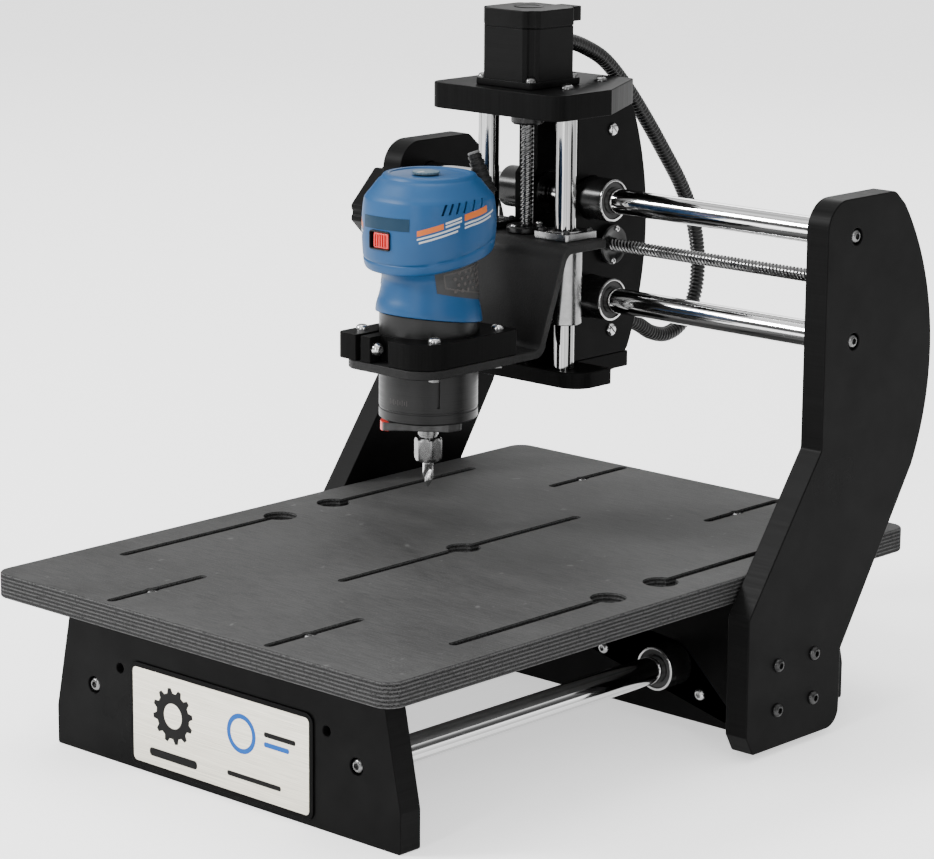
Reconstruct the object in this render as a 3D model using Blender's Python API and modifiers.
"""Desktop gantry CNC router carrying a palm router, modelled as its separate pieces.

Frame: X runs along the gantry, Y runs back along the table, Z is up. Every size and place below is
in millimetres, measured from the floor under the table's middle; MM turns it into metres. The
finished object is then moved so that its origin is the bottom centre of its bounding box, without
the cable loom.
"""

import math

import bmesh
import bpy
from mathutils import Matrix, Vector

MM = 0.001
GAP = 0.3                     # clearance that touching pieces keep
SHEET = 19.0                  # thickness of the black polyethylene sheet
ROUND_SIDES = 24
OVAL_SIDES = 32
SMALL_SIDES = 16

# Table and the two panels that carry it
TABLE_HALF_X, TABLE_HALF_Y = 193.5, 277.0
TABLE_TOP, TABLE_THICK, TABLE_CORNER = 129.0, 18.0, 13.0
TABLE_UNDER = TABLE_TOP - TABLE_THICK
SLOT_WIDTH, SLOT_DEPTH = 7.0, 10.0
KEYHOLE_RADIUS = 12.5
SIDE_SLOT_X, SIDE_SLOT_NEAR, SIDE_SLOT_FAR = 161.0, 28.0, 186.0
CENTRE_SLOT_HALF = 127.0
END_SLOT_X, END_SLOT_NEAR, END_SLOT_FAR, END_SLOT_DEPTH = 77.0, 182.0, 272.0, 6.0
PANEL_FRONT_Y, PANEL_REAR_Y = -241.0, 234.0
PANEL_FOOT_HALF, PANEL_TOP_HALF, PANEL_BREAK_Z = 169.0, 152.0, 28.0
PANEL_HOLE_X, PANEL_HOLE_Z, PANEL_HOLE_RADIUS = 101.5, 69.5, 3.6
LABEL_HALF_X, LABEL_Z0, LABEL_Z1, LABEL_THICK, LABEL_CORNER = 90.0, 4.0, 78.5, 1.2, 7.0

# Y axis: rails, screw and motor, all at one height
Y_AXIS_Z = 51.5
Y_RAIL_X, Y_RAIL_RADIUS = 129.0, 10.0
RAIL_SOCKET = 10.0            # how far a rail enters a panel or a gantry side
BOLT_HEAD_RADIUS, BOLT_HEAD_LONG, BOLT_SHANK_RADIUS = 5.2, 5.0, 2.2
BOLT_RECESS_RADIUS, BOLT_RECESS_DEEP = 6.0, 6.0
SCREW_RADIUS = 5.0
MOTOR_HALF, MOTOR_LONG, MOTOR_FLANGE = 28.2, 57.0, 5.0
MOTOR_CORNER_CUT = 8.0

# Gantry sides and the two plates that join them under the table
GANTRY_INNER_X = 196.5
GANTRY_OUTER_X = GANTRY_INNER_X + SHEET
GANTRY_FRONT_Y, GANTRY_TOP_Z = 137.3, 389.5
CROSS_FRONT_Y, CROSS_REAR_Y = 84.5, 126.0
CROSS_Z0, CROSS_Z1 = 11.5, 105.0
BEARING_LONG = 41.0

# X axis: two rails and the screw
X_RAIL_Y, X_RAIL_UPPER_Z, X_RAIL_LOWER_Z, X_RAIL_RADIUS = 171.0, 362.0, 287.0, 9.5
X_SCREW_Y, X_SCREW_Z = 193.0, 324.0
X_BEARING_RADIUS = 15.9

# Carriage that runs on the X rails; it rests left of the middle
CARRIAGE_X = -60.0
CARRIAGE_OUTER, CARRIAGE_INNER = 29.5, 10.5
CARRIAGE_FRONT_Y = 151.0
TOP_PLATE_Z0 = 428.7
TOP_PLATE_Z1 = TOP_PLATE_Z0 + SHEET
BOTTOM_PLATE_Z0, BOTTOM_PLATE_Z1 = 226.5, 238.7
X_BEARING_PROUD = 22.2        # how far a rail bearing stands out of its side plate

# Z axis: two rods and the screw in one plane
Z_AXIS_Y, Z_ROD_HALF, Z_ROD_RADIUS = 131.5, 38.5, 7.94
Z_BEARING_RADIUS, Z_FLANGE_HALF, Z_FLANGE_THICK = 13.0, 17.0, 6.0
BRACKET_THICK = 6.5
BRACKET_TOP_Z, BRACKET_FLOOR_Z = 337.0, 258.0
BRACKET_REAR_Y, WEB_FRONT_Y = 148.5, 99.0
BRACKET_TOP_HALF, BRACKET_FLOOR_HALF = 64.0, 44.0

# Palm router and its clamp
ROUTER_Y = 25.7
HOUSING_RADIUS, HOUSING_WALL = 36.3, 5.0
CLAMP_FRONT_Y, CLAMP_REAR_Y, CLAMP_HALF = -25.4, 74.0, 44.0
CLAMP_Z0 = BRACKET_FLOOR_Z + GAP
CLAMP_Z1 = CLAMP_Z0 + SHEET
CLAMP_BORE = HOUSING_RADIUS + GAP
SLIT_LEFT, SLIT_RIGHT, NOTCH_LEFT, NOTCH_RIGHT, NOTCH_FLOOR_Y = -24.5, -19.5, -10.0, 8.0, -13.0
HOUSING_FOOT_Z = 213.0
GRIP_FOOT_Z, GRIP_FOOT_TILT = 288.0, -0.14
HEAD_FOOT_Z, HEAD_FOOT_TILT = 331.0, 0.175
HEAD_TOP_Z = 393.0
BIT_TIP_Z, COLLET_Z0, COLLET_Z1 = 159.5, 180.0, 197.0

# Corrugated loom from the Z motor round to the lower back of the carriage, as (y, z) at LOOM_X
LOOM_X, LOOM_RADIUS = -58.0, 6.0
LOOM_ROUTE = [
    (160.4, 478), (174, 476.5), (192, 471), (216, 459), (241, 437), (264, 412), (288, 383),
    (311, 353), (327, 323), (334, 290), (330, 262), (315, 243), (297, 236.5), (278, 240),
    (261, 249), (244, 256), (226.5, 259),
]
LOOM_STEP = 25.0

# From the table's middle to the middle of the bounding box, which each outer motor lengthens
FRAME_SHIFT_X = (MOTOR_LONG + GAP) / 2
FRAME_SHIFT_Y = (TABLE_HALF_Y - PANEL_REAR_Y - GAP - MOTOR_LONG) / 2

parts = None
cutters = None
machine = None
bodies = {}
materials = {}


def start_collections():
    """Empties the scene, then makes a collection for the parts, one for the cutters, and the frame."""
    global parts, cutters, machine
    for obj in list(bpy.data.objects):
        bpy.data.objects.remove(obj, do_unlink=True)
    parts = bpy.data.collections.new("cnc_router")
    cutters = bpy.data.collections.new("cutters")
    bpy.context.scene.collection.children.link(parts)
    bpy.context.scene.collection.children.link(cutters)
    machine = bpy.data.objects.new("machine", None)
    machine.location = (FRAME_SHIFT_X * MM, FRAME_SHIFT_Y * MM, 0)
    parts.objects.link(machine)


def make_material(name, colour, roughness, metallic=0.0):
    """A Principled material with one colour, kept under its name."""
    material = bpy.data.materials.new(name)
    material.use_nodes = True
    shader = material.node_tree.nodes["Principled BSDF"]
    shader.inputs["Base Color"].default_value = (*colour, 1.0)
    shader.inputs["Roughness"].default_value = roughness
    shader.inputs["Metallic"].default_value = metallic
    materials[name] = material


def make_materials():
    make_material("black_sheet", (0.035, 0.035, 0.037), 0.45)
    make_material("stained_plywood", (0.16, 0.155, 0.15), 0.6)
    make_material("chrome_rod", (0.75, 0.75, 0.76), 0.12, 1.0)
    make_material("steel_screw", (0.55, 0.55, 0.56), 0.3, 1.0)
    make_material("motor_black", (0.03, 0.03, 0.032), 0.5)
    make_material("bracket_grey", (0.13, 0.13, 0.135), 0.6, 0.3)
    make_material("router_blue", (0.10, 0.30, 0.52), 0.35)
    make_material("router_metal", (0.25, 0.25, 0.26), 0.35, 0.8)
    make_material("switch_red", (0.70, 0.03, 0.02), 0.4)
    make_material("loom_black", (0.03, 0.03, 0.03), 0.6)
    make_material("label_silver", (0.70, 0.70, 0.70), 0.3, 0.6)


def make_body(name, pivot):
    """An empty on the axis of the body's joint, for its pieces to hang from."""
    empty = bpy.data.objects.new(name + "_body", None)
    empty.location = Vector(pivot) * MM
    empty.parent = machine
    parts.objects.link(empty)
    bodies[name] = empty


def make_bodies():
    make_body("base", (0, 0, 0))
    make_body("y_screw", (0, 0, Y_AXIS_Z))
    make_body("gantry", (0, CROSS_FRONT_Y, Y_AXIS_Z))
    make_body("x_screw", (0, X_SCREW_Y, X_SCREW_Z))
    make_body("x_carriage", (CARRIAGE_X, X_RAIL_Y, X_SCREW_Z))
    make_body("z_screw", (CARRIAGE_X, Z_AXIS_Y, TOP_PLATE_Z0))
    make_body("z_carriage", (CARRIAGE_X, Z_AXIS_Y, BRACKET_TOP_Z))
    make_body("spindle", (CARRIAGE_X, ROUTER_Y, HOUSING_FOOT_Z))
    make_body("power_switch", SWITCH_CENTRE)
    make_body("speed_dial", DIAL_CENTRE)
    make_body("spindle_lock", (CARRIAGE_X, ROUTER_Y, LOCK_Z))


def finish_piece(obj, body, material, smooth=True):
    """Shades a piece, gives it its material and hangs it from its body where it already stands."""
    if smooth:
        obj.data.shade_smooth()
        obj.data.set_sharp_from_angle(angle=math.radians(35))
    obj.data.materials.clear()
    obj.data.materials.append(materials[material])
    parts.objects.link(obj)
    obj.parent = bodies[body]
    obj.matrix_parent_inverse = Matrix.Translation(-bodies[body].location)
    return obj


def object_from(bm, name):
    """A new object, in millimetres until now, from a finished bmesh."""
    bmesh.ops.scale(bm, vec=(MM, MM, MM), verts=bm.verts)
    mesh = bpy.data.meshes.new(name)
    bm.to_mesh(mesh)
    bm.free()
    return bpy.data.objects.new(name, mesh)


def block(name, low, high):
    """A box between two corners."""
    bm = bmesh.new()
    bmesh.ops.create_cube(bm, size=1.0)
    low, high = Vector(low), Vector(high)
    bmesh.ops.scale(bm, vec=high - low, verts=bm.verts)
    bmesh.ops.translate(bm, vec=(low + high) / 2, verts=bm.verts)
    return object_from(bm, name)


def rod(name, start, end, radius, sides=ROUND_SIDES):
    """A solid cylinder between two points."""
    start, end = Vector(start), Vector(end)
    along = end - start
    turn = along.to_track_quat("Z", "Y").to_matrix().to_4x4()
    bm = bmesh.new()
    bmesh.ops.create_cone(
        bm, cap_ends=True, segments=sides, radius1=radius, radius2=radius, depth=along.length,
        matrix=Matrix.Translation((start + end) / 2) @ turn,
    )
    return object_from(bm, name)


def turned(name, profile, foot, along=(0, 0, 1), closed=False, sides=ROUND_SIDES):
    """A profile of (radius, height), top to bottom on its outer side, turned round an axis."""
    bm = bmesh.new()
    verts = [bm.verts.new((radius * MM, 0, height * MM)) for radius, height in profile]
    for first, second in zip(verts, verts[1:]):
        bm.edges.new((first, second))
    if closed:
        bm.edges.new((verts[-1], verts[0]))
    mesh = bpy.data.meshes.new(name)
    bm.to_mesh(mesh)
    bm.free()
    obj = bpy.data.objects.new(name, mesh)
    screw = obj.modifiers.new("turn", "SCREW")
    screw.steps = screw.render_steps = sides
    screw.use_merge_vertices = True
    screw.merge_threshold = 0.00001
    obj.location = Vector(foot) * MM
    obj.rotation_euler = Vector(along).to_track_quat("Z", "Y").to_euler()
    return obj


def tube(name, start, end, outer, inner, sides=ROUND_SIDES):
    """A turned ring from start to end."""
    length = (Vector(end) - Vector(start)).length
    profile = [(outer, length), (outer, 0), (inner, 0), (inner, length)]
    return turned(name, profile, start, Vector(end) - Vector(start), closed=True, sides=sides)


def arc(centre, radius, start, end, steps):
    """Points on an arc; the angles are in degrees."""
    angles = [math.radians(start + (end - start) * i / steps) for i in range(steps + 1)]
    return [(centre[0] + radius * math.cos(a), centre[1] + radius * math.sin(a)) for a in angles]


def arc_through(first, middle, last, steps):
    """Points on the arc through three points."""
    (ax, ay), (bx, by), (cx, cy) = first, middle, last
    d = 2 * (ax * (by - cy) + bx * (cy - ay) + cx * (ay - by))
    a2, b2, c2 = ax * ax + ay * ay, bx * bx + by * by, cx * cx + cy * cy
    centre = Vector((
        (a2 * (by - cy) + b2 * (cy - ay) + c2 * (ay - by)) / d,
        (a2 * (cx - bx) + b2 * (ax - cx) + c2 * (bx - ax)) / d,
    ))
    radius = (Vector(first) - centre).length
    start = math.degrees(math.atan2(ay - centre.y, ax - centre.x))
    end = math.degrees(math.atan2(cy - centre.y, cx - centre.x))
    return arc(centre, radius, start, end, steps)


def fillet(corners, steps=5):
    """An outline from corners (x, y) or (x, y, radius), each with a radius turned into an arc."""
    outline = []
    count = len(corners)
    for i, corner in enumerate(corners):
        point = Vector(corner[:2])
        radius = corner[2] if len(corner) > 2 else 0
        if radius == 0:
            outline.append(tuple(point))
            continue
        back = (Vector(corners[i - 1][:2]) - point).normalized()
        ahead = (Vector(corners[(i + 1) % count][:2]) - point).normalized()
        half = back.angle(ahead) / 2
        centre = point + (back + ahead).normalized() * radius / math.sin(half)
        start = point + back * radius / math.tan(half) - centre
        turn = start.angle_signed(point + ahead * radius / math.tan(half) - centre)
        for step in range(steps + 1):
            spoke = start.copy()
            spoke.rotate(Matrix.Rotation(-turn * step / steps, 2))
            outline.append(tuple(centre + spoke))
    return outline


def circle(centre, radius, sides=ROUND_SIDES):
    return arc(centre, radius, 0, 360, sides)[:-1]


PLANES = {
    # plane: matrix whose columns are the world directions of the outline's x, y and its normal
    "XY": Matrix(((1, 0, 0), (0, 1, 0), (0, 0, 1))),
    "YZ": Matrix(((0, 0, 1), (1, 0, 0), (0, 1, 0))),
    "XZ": Matrix(((1, 0, 0), (0, 0, -1), (0, 1, 0))),
}


def plate(name, plane, outline, low, high, holes=()):
    """A flat outline with holes, filled and given thickness from low to high across its plane."""
    curve = bpy.data.curves.new(name + "_outline", "CURVE")
    curve.dimensions = "2D"
    curve.fill_mode = "BOTH"
    curve.extrude = (high - low) / 2 * MM
    for points in [outline, *holes]:
        spline = curve.splines.new("POLY")
        spline.points.add(len(points) - 1)
        for point, (x, y) in zip(spline.points, points):
            point.co = (x * MM, y * MM, 0, 1)
        spline.use_cyclic_u = True
    guide = bpy.data.objects.new(name + "_guide", curve)
    bpy.context.scene.collection.objects.link(guide)
    graph = bpy.context.evaluated_depsgraph_get()
    mesh = bpy.data.meshes.new_from_object(guide.evaluated_get(graph))
    bpy.data.objects.remove(guide)
    bpy.data.curves.remove(curve)
    normal = -1 if plane == "XZ" else 1
    place = PLANES[plane].to_4x4()
    place.translation = PLANES[plane] @ Vector((0, 0, normal * (low + high) / 2 * MM))
    bm = bmesh.new()
    bm.from_mesh(mesh)
    bpy.data.meshes.remove(mesh)
    bmesh.ops.remove_doubles(bm, verts=bm.verts, dist=0.000002)
    bmesh.ops.transform(bm, matrix=place, verts=bm.verts)
    bmesh.ops.recalc_face_normals(bm, faces=bm.faces)
    mesh = bpy.data.meshes.new(name)
    bm.to_mesh(mesh)
    bm.free()
    return bpy.data.objects.new(name, mesh)


def ring_stack(name, rings, chain=False):
    """A skin over rings of equal point count; capped at both ends, or closed on itself as a chain."""
    bm = bmesh.new()
    loops = [[bm.verts.new(point) for point in ring] for ring in rings]
    pairs = list(zip(loops, loops[1:]))
    if chain:
        pairs.append((loops[-1], loops[0]))
    for lower, upper in pairs:
        for i in range(len(lower)):
            j = (i + 1) % len(lower)
            bm.faces.new((lower[i], lower[j], upper[j], upper[i]))
    if not chain:
        bm.faces.new(reversed(loops[0]))
        bm.faces.new(loops[-1])
    bmesh.ops.recalc_face_normals(bm, faces=bm.faces)
    return object_from(bm, name)


def oval_ring(half_x, half_y, z, tilt=0.0, power=2.0):
    """A level or tilted ring round the router's axis; a power above 2 squares it off."""
    ring = []
    for i in range(OVAL_SIDES):
        angle = 2 * math.pi * i / OVAL_SIDES
        c, s = math.cos(angle), math.sin(angle)
        x = half_x * math.copysign(abs(c) ** (2 / power), c)
        y = half_y * math.copysign(abs(s) ** (2 / power), s)
        ring.append((CARRIAGE_X + x, ROUTER_Y + y, z + tilt * y))
    return ring


def combine(obj, tool, operation="DIFFERENCE"):
    """Adds a Boolean with a hidden tool object."""
    cutters.objects.link(tool)
    tool.parent = machine
    tool.hide_render = True
    tool.display_type = "WIRE"
    modifier = obj.modifiers.new(tool.name, "BOOLEAN")
    modifier.operation = operation
    modifier.object = tool
    return obj


def bore(obj, name, start, end, radius, sides=ROUND_SIDES):
    return combine(obj, rod(name, start, end, radius, sides))


# ---------------------------------------------------------------- base

def slot_cutter(name, x, y0, y1, depth):
    """A straight slot with round ends, sunk into the table top along Y."""
    half = SLOT_WIDTH / 2
    outline = arc((x, y1 - half), half, 0, 180, 8) + arc((x, y0 + half), half, 180, 360, 8)
    return plate(name, "XY", outline, TABLE_TOP - depth, TABLE_TOP + 2)


def make_table():
    corners = [(x, y, TABLE_CORNER) for x, y in (
        (-TABLE_HALF_X, -TABLE_HALF_Y), (TABLE_HALF_X, -TABLE_HALF_Y),
        (TABLE_HALF_X, TABLE_HALF_Y), (-TABLE_HALF_X, TABLE_HALF_Y),
    )]
    table = plate("spoilboard", "XY", fillet(corners), TABLE_UNDER, TABLE_TOP)
    keyholes = [(0, 0)]
    slots = [(0, -CENTRE_SLOT_HALF, CENTRE_SLOT_HALF, SLOT_DEPTH)]
    for side in (-1, 1):
        x = side * SIDE_SLOT_X
        slots.append((x, -SIDE_SLOT_FAR, -SIDE_SLOT_NEAR, SLOT_DEPTH))
        slots.append((x, SIDE_SLOT_NEAR, SIDE_SLOT_FAR, SLOT_DEPTH))
        keyholes += [(x, -SIDE_SLOT_NEAR), (x, SIDE_SLOT_NEAR)]
        slots.append((side * END_SLOT_X, -END_SLOT_FAR, -END_SLOT_NEAR, END_SLOT_DEPTH))
        slots.append((side * END_SLOT_X, END_SLOT_NEAR, END_SLOT_FAR, END_SLOT_DEPTH))
    for i, (x, y0, y1, depth) in enumerate(slots):
        combine(table, slot_cutter(f"slot_{i}", x, y0, y1, depth))
    for i, (x, y) in enumerate(keyholes):
        floor = TABLE_TOP - SLOT_DEPTH - 0.5
        bore(table, f"keyhole_{i}", (x, y, floor), (x, y, TABLE_TOP + 2), KEYHOLE_RADIUS, 24)
    finish_piece(table, "base", "stained_plywood")


def panel_outline():
    top = TABLE_UNDER - GAP
    half = [(PANEL_FOOT_HALF, 0, 2), (PANEL_FOOT_HALF, PANEL_BREAK_Z, 2), (PANEL_TOP_HALF, top, 1)]
    mirrored = [(-x, z, radius) for x, z, radius in reversed(half)]
    return fillet(half + mirrored, 2)


def make_panel(name, outer_y, inward):
    """An end panel; inward is the direction in Y from its outer face to the table's middle."""
    inner_y = outer_y + inward * SHEET
    holes = [circle((side * PANEL_HOLE_X, PANEL_HOLE_Z), PANEL_HOLE_RADIUS, 12) for side in (-1, 1)]
    panel = plate(name, "XZ", panel_outline(), min(outer_y, inner_y), max(outer_y, inner_y), holes)
    for side in (-1, 1):
        x = side * Y_RAIL_X
        recess = outer_y + inward * BOLT_RECESS_DEEP
        bore(panel, f"{name}_recess_{side}", (x, outer_y - inward, Y_AXIS_Z), (x, recess, Y_AXIS_Z),
             BOLT_RECESS_RADIUS, SMALL_SIDES)
        bore(panel, f"{name}_shank_{side}", (x, outer_y, Y_AXIS_Z), (x, inner_y, Y_AXIS_Z),
             BOLT_SHANK_RADIUS + GAP, 12)
        bore(panel, f"{name}_socket_{side}", (x, inner_y - inward * RAIL_SOCKET, Y_AXIS_Z),
             (x, inner_y + inward, Y_AXIS_Z), Y_RAIL_RADIUS + GAP)
    return panel


def bolt(name, seat, along, shank):
    """A cap screw whose head stands on seat and whose shank runs on in the direction along."""
    profile = [(0, 0), (BOLT_HEAD_RADIUS, 0), (BOLT_HEAD_RADIUS, -BOLT_HEAD_LONG),
               (BOLT_SHANK_RADIUS, -BOLT_HEAD_LONG), (BOLT_SHANK_RADIUS, -BOLT_HEAD_LONG - shank),
               (0, -BOLT_HEAD_LONG - shank)]
    outward = -Vector(along)
    top = Vector(seat) + outward * BOLT_HEAD_LONG
    return turned(name, profile, top, outward, sides=SMALL_SIDES)


def make_base():
    make_table()
    front = make_panel("front_panel", PANEL_FRONT_Y, 1)
    finish_piece(front, "base", "black_sheet")
    rear = make_panel("rear_panel", PANEL_REAR_Y, -1)
    bore(rear, "rear_screw_hole", (0, PANEL_REAR_Y + 1, Y_AXIS_Z),
         (0, PANEL_REAR_Y - SHEET - 1, Y_AXIS_Z), SCREW_RADIUS + 1)
    finish_piece(rear, "base", "black_sheet")

    label = [(-LABEL_HALF_X, LABEL_Z0, LABEL_CORNER), (LABEL_HALF_X, LABEL_Z0, LABEL_CORNER),
             (LABEL_HALF_X, LABEL_Z1, LABEL_CORNER), (-LABEL_HALF_X, LABEL_Z1, LABEL_CORNER)]
    label_y = PANEL_FRONT_Y - GAP
    piece = plate("label_plate", "XZ", fillet(label), label_y - LABEL_THICK, label_y)
    finish_piece(piece, "base", "label_silver")

    start = PANEL_FRONT_Y + SHEET - RAIL_SOCKET + GAP
    end = PANEL_REAR_Y - SHEET + RAIL_SOCKET - GAP
    for side, word in ((-1, "left"), (1, "right")):
        x = side * Y_RAIL_X
        rail = rod(f"y_rail_{word}", (x, start, Y_AXIS_Z), (x, end, Y_AXIS_Z), Y_RAIL_RADIUS)
        finish_piece(rail, "base", "chrome_rod")
        seat = PANEL_FRONT_Y + BOLT_RECESS_DEEP - GAP
        shank = RAIL_SOCKET - BOLT_RECESS_DEEP - 2 * GAP
        screw = bolt(f"rail_bolt_{word}", (x, seat, Y_AXIS_Z), (0, 1, 0), shank)
        finish_piece(screw, "base", "steel_screw")

    face = PANEL_FRONT_Y + SHEET + GAP
    bearing = tube("y_screw_bearing", (0, face, Y_AXIS_Z), (0, face + 9, Y_AXIS_Z), 11,
                   SCREW_RADIUS + GAP, SMALL_SIDES)
    finish_piece(bearing, "base", "motor_black")
    motor = stepper("y_motor", (0, PANEL_REAR_Y + GAP, Y_AXIS_Z), "Y", 0)
    finish_piece(motor, "base", "motor_black")


def make_lead_screw(name, body, start, end):
    finish_piece(rod(name, start, end, SCREW_RADIUS, SMALL_SIDES), body, "steel_screw")


def stepper(name, face, direction, roll):
    """A NEMA 23 stepper: square flange on its face, body with cut corners, and a connector block."""
    square = [(-MOTOR_HALF, -MOTOR_HALF, 3), (MOTOR_HALF, -MOTOR_HALF, 3),
              (MOTOR_HALF, MOTOR_HALF, 3), (-MOTOR_HALF, MOTOR_HALF, 3)]
    shaft_hole = circle((0, 0), SCREW_RADIUS + 1, SMALL_SIDES)
    motor = plate(name, "XY", fillet(square, 3), 0, MOTOR_FLANGE, [shaft_hole])
    half, cut = MOTOR_HALF - 0.5, MOTOR_CORNER_CUT
    body = []
    for turn in range(4):
        for x, y in ((half, cut - half), (half, half - cut)):
            for _ in range(turn):
                x, y = -y, x
            body.append((x, y))
    combine(motor, plate(name + "_body", "XY", body, MOTOR_FLANGE - 0.5, MOTOR_LONG), "UNION")
    connector = block(name + "_connector", (2, half - 3, MOTOR_LONG - 11), (22, half + 6, MOTOR_LONG))
    combine(motor, connector, "UNION")
    turn = {"Z": Matrix.Identity(4), "Y": Matrix.Rotation(math.radians(-90), 4, "X"),
            "-X": Matrix.Rotation(math.radians(-90), 4, "Y")}[direction]
    turn = turn @ Matrix.Rotation(math.radians(roll), 4, "Z")
    for piece in [motor, *(modifier.object for modifier in motor.modifiers)]:
        piece.matrix_basis = Matrix.Translation(Vector(face) * MM) @ turn
    return motor


# ---------------------------------------------------------------- gantry

def gantry_side_outline():
    """Foot block, slanted middle and upright top with a bulging back, in (y, z)."""
    foot = [(59.7, 19, 2), (67.5, 5, 3), (167, 5, 14), (167, 62, 5)]
    back = [(y, z) for y, z in arc_through((247, 185.4), (264.4, 285), (228, 379), 12)]
    top = [(216, GANTRY_TOP_Z, 9), (GANTRY_FRONT_Y, GANTRY_TOP_Z, 22), (GANTRY_FRONT_Y, 213, 4)]
    return fillet(foot + back + top + [(59.7, 105, 4)], 6)


def make_gantry_side(word, side):
    inner, outer = side * GANTRY_INNER_X, side * GANTRY_OUTER_X
    name = f"gantry_side_{word}"
    piece = plate(name, "YZ", gantry_side_outline(), min(inner, outer), max(inner, outer))
    for label, z in (("upper", X_RAIL_UPPER_Z), ("lower", X_RAIL_LOWER_Z)):
        bore(piece, f"{name}_{label}_socket", (inner - side, X_RAIL_Y, z),
             (inner + side * RAIL_SOCKET, X_RAIL_Y, z), X_RAIL_RADIUS + GAP)
        bore(piece, f"{name}_{label}_recess", (outer + side, X_RAIL_Y, z),
             (outer - side * BOLT_RECESS_DEEP, X_RAIL_Y, z), BOLT_RECESS_RADIUS, SMALL_SIDES)
        bore(piece, f"{name}_{label}_shank", (outer, X_RAIL_Y, z), (inner, X_RAIL_Y, z),
             BOLT_SHANK_RADIUS + GAP, 12)
    if side < 0:
        bore(piece, "x_screw_hole", (inner + 1, X_SCREW_Y, X_SCREW_Z),
             (outer - 1, X_SCREW_Y, X_SCREW_Z), SCREW_RADIUS + 1, SMALL_SIDES)
    finish_piece(piece, "gantry", "black_sheet")


def make_cross_plate(name, front, nut_radius):
    """A plate between the gantry sides, under the table, bored for the rail bearings and the nut."""
    half = GANTRY_INNER_X - GAP
    outline = [(-half, CROSS_Z0), (half, CROSS_Z0), (half, CROSS_Z1), (-half, CROSS_Z1)]
    bearing = Y_RAIL_RADIUS + 6 + GAP
    holes = [circle((side * Y_RAIL_X, Y_AXIS_Z), bearing) for side in (-1, 1)]
    holes.append(circle((0, Y_AXIS_Z), nut_radius, SMALL_SIDES))
    piece = plate(name, "XZ", outline, front, front + SHEET, holes)
    finish_piece(piece, "gantry", "black_sheet")


def flanged_nut(name, face, along, plate_thick, body_radius):
    """A screw nut: a round flange on a plate's face and a body through the plate."""
    inner = SCREW_RADIUS + GAP
    profile = [(15, 5), (15, 0), (body_radius, 0), (body_radius, -plate_thick - 2 * GAP),
               (inner, -plate_thick - 2 * GAP), (inner, 5)]
    return turned(name, profile, face, along, closed=True, sides=24)


def make_gantry():
    make_gantry_side("left", -1)
    make_gantry_side("right", 1)
    make_cross_plate("cross_plate_front", CROSS_FRONT_Y, 9)
    make_cross_plate("cross_plate_rear", CROSS_REAR_Y, SCREW_RADIUS + 3)
    front_end = CROSS_FRONT_Y + SHEET
    for side, word in ((-1, "left"), (1, "right")):
        x = side * Y_RAIL_X
        spans = (("front", front_end - BEARING_LONG, front_end),
                 ("rear", CROSS_REAR_Y, CROSS_REAR_Y + BEARING_LONG))
        for end, y0, y1 in spans:
            bearing = tube(f"y_bearing_{word}_{end}", (x, y0, Y_AXIS_Z), (x, y1, Y_AXIS_Z),
                           Y_RAIL_RADIUS + 6, Y_RAIL_RADIUS + GAP)
            finish_piece(bearing, "gantry", "motor_black")
    nut = flanged_nut("y_nut", (0, CROSS_FRONT_Y - GAP, Y_AXIS_Z), (0, -1, 0), SHEET, 8.7)
    finish_piece(nut, "gantry", "motor_black")

    rail_end = GANTRY_INNER_X + RAIL_SOCKET - GAP
    for word, z in (("upper", X_RAIL_UPPER_Z), ("lower", X_RAIL_LOWER_Z)):
        rail = rod(f"x_rail_{word}", (-rail_end, X_RAIL_Y, z), (rail_end, X_RAIL_Y, z), X_RAIL_RADIUS)
        finish_piece(rail, "gantry", "chrome_rod")
        seat = GANTRY_OUTER_X - BOLT_RECESS_DEEP + GAP
        shank = SHEET - RAIL_SOCKET - BOLT_RECESS_DEEP - 2 * GAP
        screw = bolt(f"x_rail_bolt_{word}", (seat, X_RAIL_Y, z), (-1, 0, 0), shank)
        finish_piece(screw, "gantry", "steel_screw")
    face = GANTRY_INNER_X - GAP
    bearing = tube("x_screw_bearing", (face - 8, X_SCREW_Y, X_SCREW_Z), (face, X_SCREW_Y, X_SCREW_Z),
                   11, SCREW_RADIUS + GAP, SMALL_SIDES)
    finish_piece(bearing, "gantry", "motor_black")
    motor = stepper("x_motor", (-GANTRY_OUTER_X - GAP, X_SCREW_Y, X_SCREW_Z), "-X", 45)
    finish_piece(motor, "gantry", "motor_black")


# ---------------------------------------------------------------- carriage on the X rails

def carriage_side_outline():
    low, high = BOTTOM_PLATE_Z1 + GAP, TOP_PLATE_Z0 - GAP
    back = arc_through((216.5, 242), (236, 332), (219, 425), 12)
    front = [(216, high), (155, high), (155, 381), (CARRIAGE_FRONT_Y, 377), (CARRIAGE_FRONT_Y, low)]
    return [(214, low)] + back + front


def make_carriage_side(word, side):
    """A side plate with its two rail bearings; the right one also holds the screw nut."""
    x0 = CARRIAGE_X + side * CARRIAGE_INNER
    x1 = CARRIAGE_X + side * CARRIAGE_OUTER
    rails = (("upper", X_RAIL_UPPER_Z), ("lower", X_RAIL_LOWER_Z))
    holes = [circle((X_RAIL_Y, z), X_BEARING_RADIUS + GAP) for _, z in rails]
    holes.append(circle((X_SCREW_Y, X_SCREW_Z), 9, SMALL_SIDES))
    outline = carriage_side_outline()
    piece = plate(f"carriage_side_{word}", "YZ", outline, min(x0, x1), max(x0, x1), holes)
    finish_piece(piece, "x_carriage", "black_sheet")
    for label, z in rails:
        end = x1 + side * X_BEARING_PROUD
        start = (min(x0, end), X_RAIL_Y, z)
        finish = (max(x0, end), X_RAIL_Y, z)
        bearing = tube(f"x_bearing_{word}_{label}", start, finish, X_BEARING_RADIUS,
                       X_RAIL_RADIUS + GAP)
        finish_piece(bearing, "x_carriage", "motor_black")


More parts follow.
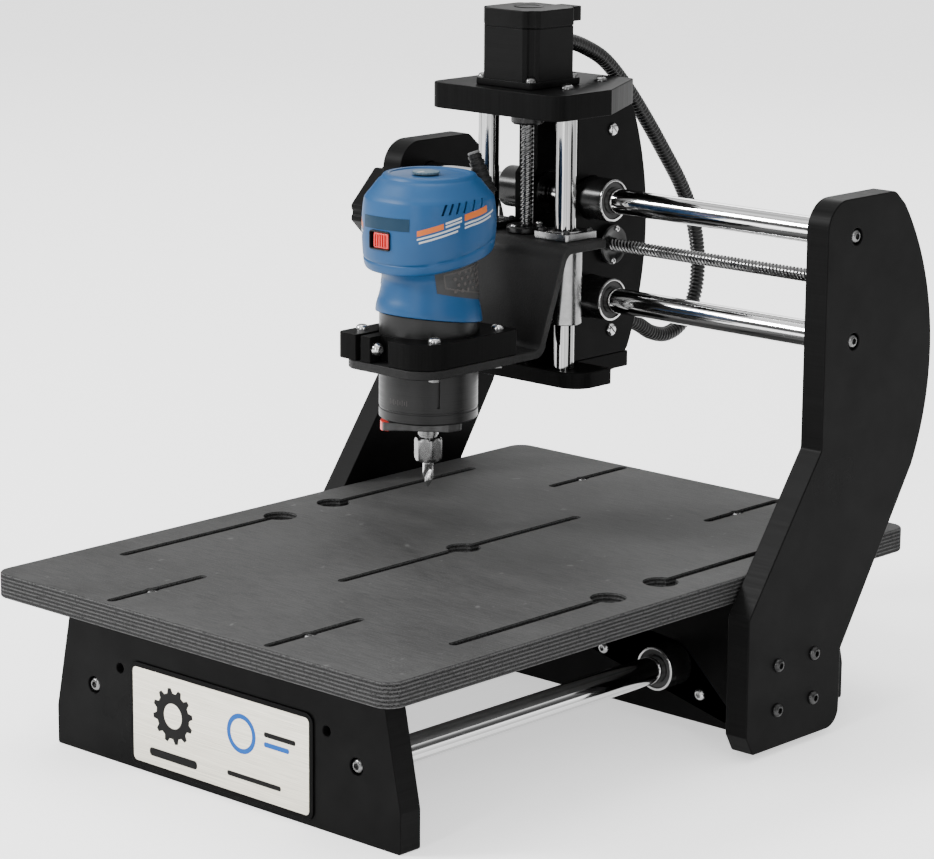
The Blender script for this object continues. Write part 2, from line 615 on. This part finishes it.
def sink_rods(piece, name, z0, z1):
    for side in (-1, 1):
        x = CARRIAGE_X + side * Z_ROD_HALF
        bore(piece, f"{name}_{side}", (x, Z_AXIS_Y, z0), (x, Z_AXIS_Y, z1), Z_ROD_RADIUS + GAP)


def shifted(outline):
    """Moves an outline drawn about the carriage's middle to its place in X."""
    return [(CARRIAGE_X + x, y) for x, y in outline]


def make_carriage():
    make_carriage_side("left", -1)
    make_carriage_side("right", 1)

    top = [(-64, 91, 12), (64, 91, 12), (64, 152, 2), (31, 216, 3), (-31, 216, 3), (-64, 152, 2)]
    screw_hole = circle((CARRIAGE_X, Z_AXIS_Y), SCREW_RADIUS + 1, SMALL_SIDES)
    piece = plate("z_top_plate", "XY", shifted(fillet(top)), TOP_PLATE_Z0, TOP_PLATE_Z1, [screw_hole])
    sink_rods(piece, "top_socket", TOP_PLATE_Z0 - 1, TOP_PLATE_Z0 + 12)
    finish_piece(piece, "x_carriage", "black_sheet")

    outer = CARRIAGE_OUTER
    bottom = [(-64, 118, 18), (64, 118, 18), (64, 157, 1), (outer, 157, 1), (outer, 217, 1),
              (-outer, 217, 1), (-outer, 157, 1), (-64, 157, 1)]
    piece = plate("z_bottom_plate", "XY", shifted(fillet(bottom, 6)), BOTTOM_PLATE_Z0,
                  BOTTOM_PLATE_Z1, [screw_hole])
    sink_rods(piece, "bottom_socket", BOTTOM_PLATE_Z1 - 6, BOTTOM_PLATE_Z1 + 1)
    finish_piece(piece, "x_carriage", "black_sheet")

    for side, word in ((-1, "left"), (1, "right")):
        x = CARRIAGE_X + side * Z_ROD_HALF
        start = (x, Z_AXIS_Y, BOTTOM_PLATE_Z1 - 6 + GAP)
        end = (x, Z_AXIS_Y, TOP_PLATE_Z0 + 12 - GAP)
        finish_piece(rod(f"z_rod_{word}", start, end, Z_ROD_RADIUS), "x_carriage", "chrome_rod")

    collar_top = TOP_PLATE_Z0 - GAP
    collar = tube("z_screw_bearing", (CARRIAGE_X, Z_AXIS_Y, collar_top - 10),
                  (CARRIAGE_X, Z_AXIS_Y, collar_top), 12.3, SCREW_RADIUS + GAP, 24)
    finish_piece(collar, "x_carriage", "motor_black")
    nut_face = CARRIAGE_X + CARRIAGE_OUTER + GAP
    nut = flanged_nut("x_nut", (nut_face, X_SCREW_Y, X_SCREW_Z), (1, 0, 0), SHEET, 8.7)
    finish_piece(nut, "x_carriage", "motor_black")
    brace_half = CARRIAGE_INNER - GAP
    brace = block("carriage_brace", (CARRIAGE_X - brace_half, 213, 243),
                  (CARRIAGE_X + brace_half, 225, 280))
    finish_piece(brace, "x_carriage", "black_sheet", smooth=False)
    motor = stepper("z_motor", (CARRIAGE_X, Z_AXIS_Y, TOP_PLATE_Z1 + GAP), "Z", 0)
    finish_piece(motor, "x_carriage", "motor_black")


def smooth_route(points, step):
    """Even points on a Catmull-Rom curve through the route's own points."""
    ends = [2 * points[0] - points[1], *points, 2 * points[-1] - points[-2]]
    dense = []
    for p0, p1, p2, p3 in zip(ends, ends[1:], ends[2:], ends[3:]):
        for i in range(20):
            t = i / 20
            dense.append(0.5 * (2 * p1 + (p2 - p0) * t + (2 * p0 - 5 * p1 + 4 * p2 - p3) * t * t
                                + (3 * p1 - p0 - 3 * p2 + p3) * t ** 3))
    dense.append(points[-1])
    total = sum((b - a).length for a, b in zip(dense, dense[1:]))
    count = max(2, round(total / step))
    route, walked, target = [dense[0]], 0.0, total / count
    for a, b in zip(dense, dense[1:]):
        walked += (b - a).length
        if walked >= target * len(route) and len(route) < count:
            route.append(b)
    return route + [dense[-1]]


def make_loom():
    """The corrugated loom, kept as a plain tube."""
    points = [Vector((LOOM_X, y, z)) for y, z in LOOM_ROUTE]
    curve = bpy.data.curves.new("cable_loom", "CURVE")
    curve.dimensions = "3D"
    curve.bevel_depth = LOOM_RADIUS * MM
    curve.bevel_resolution = 3
    curve.use_fill_caps = True
    route = smooth_route(points, LOOM_STEP)
    spline = curve.splines.new("POLY")
    spline.points.add(len(route) - 1)
    for point, place in zip(spline.points, route):
        point.co = (*(place * MM), 1)
    loom = bpy.data.objects.new("cable_loom", curve)
    curve.materials.append(materials["loom_black"])
    parts.objects.link(loom)
    loom.parent = bodies["x_carriage"]
    loom.matrix_parent_inverse = Matrix.Translation(-bodies["x_carriage"].location)


# ---------------------------------------------------------------- Z carriage

def make_bracket():
    """A bent plate: a flange back round the rods, a tapered web, and a floor out under the clamp."""
    t = BRACKET_THICK
    web_back = WEB_FRONT_Y + t
    section = fillet([
        (BRACKET_REAR_Y, BRACKET_TOP_Z), (WEB_FRONT_Y, BRACKET_TOP_Z, 12),
        (WEB_FRONT_Y, BRACKET_FLOOR_Z, 5), (CLAMP_FRONT_Y, BRACKET_FLOOR_Z),
        (CLAMP_FRONT_Y, BRACKET_FLOOR_Z - t), (web_back, BRACKET_FLOOR_Z - t, 11),
        (web_back, BRACKET_TOP_Z - t, 5.5), (BRACKET_REAR_Y, BRACKET_TOP_Z - t),
    ])
    wide, narrow = BRACKET_TOP_HALF, BRACKET_FLOOR_HALF
    bracket = plate("z_bracket", "YZ", section, CARRIAGE_X - wide, CARRIAGE_X + wide)
    taper = [(-narrow, 240), (narrow, 240), (narrow, 262), (wide + 1, 332), (wide + 1, 345),
             (-wide - 1, 345), (-wide - 1, 332), (-narrow, 262)]
    front_view = plate("bracket_taper", "XZ", shifted(taper), CLAMP_FRONT_Y - 1, BRACKET_REAR_Y + 1)
    combine(bracket, front_view, "INTERSECT")
    plan = fillet([(-narrow, CLAMP_FRONT_Y - 0.5, 22), (narrow, CLAMP_FRONT_Y - 0.5, 22),
                   (narrow, 60), (wide + 1, 88), (wide + 1, 160), (-wide - 1, 160),
                   (-wide - 1, 88), (-narrow, 60)])
    holes = [circle((CARRIAGE_X, ROUTER_Y), HOUSING_RADIUS + 1.5)]
    holes += [circle((CARRIAGE_X + side * Z_ROD_HALF, Z_AXIS_Y), Z_BEARING_RADIUS + GAP)
              for side in (-1, 1)]
    holes.append(circle((CARRIAGE_X, Z_AXIS_Y), 9, SMALL_SIDES))
    from_above = plate("bracket_plan", "XY", shifted(plan), 230, 350, holes)
    combine(bracket, from_above, "INTERSECT")
    finish_piece(bracket, "z_carriage", "bracket_grey")


def clamp_outline():
    """The clamp from above: split at the front left, notched for its bolt, bored for the router."""
    edge = CLAMP_BORE
    start = math.degrees(math.atan2(-math.sqrt(edge ** 2 - SLIT_LEFT ** 2), SLIT_LEFT)) + 360
    end = math.degrees(math.atan2(-math.sqrt(edge ** 2 - SLIT_RIGHT ** 2), SLIT_RIGHT))
    hole = arc((0, ROUTER_Y), edge, start, end, 40)
    front, floor = CLAMP_FRONT_Y, NOTCH_FLOOR_Y
    right = [(SLIT_RIGHT, front), (NOTCH_LEFT, front), (NOTCH_LEFT, floor), (NOTCH_RIGHT, floor),
             (NOTCH_RIGHT, front), (CLAMP_HALF, front, 22), (CLAMP_HALF, CLAMP_REAR_Y, 2),
             (-CLAMP_HALF, CLAMP_REAR_Y, 2), (-CLAMP_HALF, front, 3), (SLIT_LEFT, front)]
    return shifted(fillet(hole + right))


def make_clamp():
    clamp = plate("router_clamp", "XY", clamp_outline(), CLAMP_Z0, CLAMP_Z1)
    bolt_y = -19.0
    bolt_z = (CLAMP_Z0 + CLAMP_Z1) / 2
    seat = CARRIAGE_X + NOTCH_LEFT + GAP
    tip = CARRIAGE_X - CLAMP_HALF + 5
    bore(clamp, "clamp_bolt_hole", (seat + 1, bolt_y, bolt_z), (tip, bolt_y, bolt_z),
         BOLT_SHANK_RADIUS + GAP, 12)
    finish_piece(clamp, "z_carriage", "black_sheet")
    screw = bolt("clamp_bolt", (seat, bolt_y, bolt_z), (-1, 0, 0), seat - tip - 1)
    finish_piece(screw, "z_carriage", "steel_screw")


def make_rod_bearing(word, side):
    """A linear bearing that hangs from a square flange on the bracket."""
    x = CARRIAGE_X + side * Z_ROD_HALF
    low = BRACKET_TOP_Z + GAP
    inner = Z_ROD_RADIUS + GAP
    bearing = tube(f"z_bearing_{word}", (x, Z_AXIS_Y, 273), (x, Z_AXIS_Y, low + Z_FLANGE_THICK),
                   Z_BEARING_RADIUS, inner)
    half = Z_FLANGE_HALF
    square = [(x - half, Z_AXIS_Y - half, 2), (x + half, Z_AXIS_Y - half, 2),
              (x + half, Z_AXIS_Y + half, 2), (x - half, Z_AXIS_Y + half, 2)]
    hole = circle((x, Z_AXIS_Y), (inner + Z_BEARING_RADIUS) / 2)
    flange = plate(f"z_flange_{word}", "XY", fillet(square, 2), low, low + Z_FLANGE_THICK - 0.5,
                   [hole])
    combine(bearing, flange, "UNION")
    finish_piece(bearing, "z_carriage", "chrome_rod")


def make_router():
    """Housing, grip and head of the palm router, with the gland of its cord."""
    radius, inner = HOUSING_RADIUS, HOUSING_RADIUS - HOUSING_WALL
    top, tilt = GRIP_FOOT_Z - GAP, GRIP_FOOT_TILT
    foot, floor, nose = HOUSING_FOOT_Z, HOUSING_FOOT_Z + 7, 9.0
    rings = [oval_ring(radius, radius, foot), oval_ring(radius, radius, top, tilt),
             oval_ring(inner, inner, top, tilt), oval_ring(inner, inner, floor),
             oval_ring(nose, nose, floor), oval_ring(nose, nose, foot)]
    finish_piece(ring_stack("router_housing", rings, chain=True), "z_carriage", "router_metal")

    waist = HEAD_FOOT_TILT
    rings = [oval_ring(39.0, 39.0, GRIP_FOOT_Z, tilt), oval_ring(40.0, 40.0, GRIP_FOOT_Z + 4, tilt),
             oval_ring(37.0, 37.0, GRIP_FOOT_Z + 14, tilt / 2), oval_ring(35.0, 35.0, 311),
             oval_ring(34.0, 34.0, 319, waist / 2), oval_ring(36.0, 37.0, HEAD_FOOT_Z - GAP, waist)]
    finish_piece(ring_stack("router_grip", rings), "z_carriage", "router_blue")

    rings = [oval_ring(38.0, 40.6, HEAD_FOOT_Z, waist, 2.3), oval_ring(43.0, 45.4, 337, waist, 2.4),
             oval_ring(44.4, 46.8, 350, waist / 2, 2.5), oval_ring(44.4, 46.4, 366, 0, 2.5),
             oval_ring(43.2, 44.8, 377, 0, 2.4), oval_ring(36.6, 37.2, 387.5, 0, 2.3),
             oval_ring(31.5, 31.0, HEAD_TOP_Z, 0, 2.2)]
    head = ring_stack("router_head", rings)
    x, y, z = SWITCH_CENTRE
    pocket = block("switch_pocket", (x - 11, y - 7, z - 7), (x + 9, y + 3, z + 7))
    combine(head, pocket)
    finish_piece(head, "z_carriage", "router_blue")

    base, tip = Vector((-52, 79, 372)), Vector((-63, 76, 402))
    profile = [(0, 32), (4.5, 32), (7.0, 0), (0, 0)]
    gland = turned("cord_gland", profile, base, tip - base, sides=SMALL_SIDES)
    finish_piece(gland, "z_carriage", "loom_black")


SWITCH_CENTRE = (-63.0, -18.5, 348.4)
DIAL_CENTRE = (-60.0, 22.0, HEAD_TOP_Z + GAP)
LOCK_Z = 206.5


def make_controls():
    """The parts that a hand moves: power slide, speed dial and spindle lock."""
    x, y, z = SWITCH_CENTRE
    slide = block("power_switch", (x - 7.5, y - 5, z - 5.5), (x + 8.5, y + 2.6, z + 5.5))
    finish_piece(slide, "power_switch", "switch_red", smooth=False)
    profile = [(0, 3), (9, 3), (10, 2), (10, 0), (0, 0)]
    dial = turned("speed_dial", profile, DIAL_CENTRE, sides=SMALL_SIDES)
    finish_piece(dial, "speed_dial", "router_metal")

    bar = [(-35, -7, 3), (24, -7, 3), (24, 7, 3), (-35, 7, 3)]
    slotted = arc((-4, 0), 11, 90, 270, 10) + arc((4, 0), 11, -90, 90, 10)
    turn = Matrix.Rotation(math.radians(45), 2)
    place = Vector((CARRIAGE_X, ROUTER_Y))

    def turned_flat(points):
        return [tuple(turn @ Vector(point) + place) for point in points]

    ends = arc((-20, 0), 15, 150, 210, 6) + [(-14, -9), (14, -14), (24, -7), (24, 7), (14, 14), (-14, 9)]
    lock = plate("spindle_lock", "XY", turned_flat(ends), LOCK_Z - 3.5, LOCK_Z + 3.5,
                 [turned_flat(circle((0, 0), 10.5, 24))])
    finish_piece(lock, "spindle_lock", "switch_red")


def make_spindle():
    """Shaft with its armature, collet nut and cutter, all turning together."""
    foot = (CARRIAGE_X, ROUTER_Y, 0)
    shaft = turned("spindle_shaft", [
        (0, 276), (7, 276), (7, 266), (22, 266), (22, 230), (7.5, 230), (7.5, COLLET_Z1 + GAP),
        (4.6, COLLET_Z1 + GAP), (4.6, COLLET_Z1 + 12), (0, COLLET_Z1 + 12),
    ], foot)
    finish_piece(shaft, "spindle", "steel_screw")
    place = (CARRIAGE_X, ROUTER_Y)
    hexagon = arc(place, 10.5, 0, 360, 6)[:-1]
    nut = plate("collet_nut", "XY", hexagon, COLLET_Z0, COLLET_Z1, [circle(place, 4.3, SMALL_SIDES)])
    finish_piece(nut, "spindle", "steel_screw")
    profile = [(0, COLLET_Z1 + 11), (4, COLLET_Z1 + 11), (4, BIT_TIP_Z + 9), (1, BIT_TIP_Z),
               (0, BIT_TIP_Z)]
    finish_piece(turned("cutter_bit", profile, foot, sides=SMALL_SIDES), "spindle", "steel_screw")


def make_z_carriage():
    make_bracket()
    make_rod_bearing("left", -1)
    make_rod_bearing("right", 1)
    face = (CARRIAGE_X, Z_AXIS_Y, BRACKET_TOP_Z + GAP)
    nut = flanged_nut("z_nut", face, (0, 0, 1), BRACKET_THICK + 12, 8.7)
    finish_piece(nut, "z_carriage", "motor_black")
    make_clamp()
    make_router()
    make_controls()
    make_spindle()


def make_screws():
    """The three lead screws; each ends inside its motor and in its far bearing."""
    rear = PANEL_REAR_Y + MOTOR_FLANGE - 2
    make_lead_screw("y_lead_screw", "y_screw", (0, PANEL_FRONT_Y + SHEET + 2 * GAP, Y_AXIS_Z),
                    (0, rear, Y_AXIS_Z))
    make_lead_screw("x_lead_screw", "x_screw",
                    (-GANTRY_OUTER_X - MOTOR_FLANGE + 2, X_SCREW_Y, X_SCREW_Z),
                    (GANTRY_INNER_X - 2 * GAP, X_SCREW_Y, X_SCREW_Z))
    make_lead_screw("z_lead_screw", "z_screw", (CARRIAGE_X, Z_AXIS_Y, BOTTOM_PLATE_Z0 + 1),
                    (CARRIAGE_X, Z_AXIS_Y, TOP_PLATE_Z1 + MOTOR_FLANGE - 2))


start_collections()
make_materials()
make_bodies()
make_base()
make_gantry()
make_carriage()
make_loom()
make_z_carriage()
make_screws()
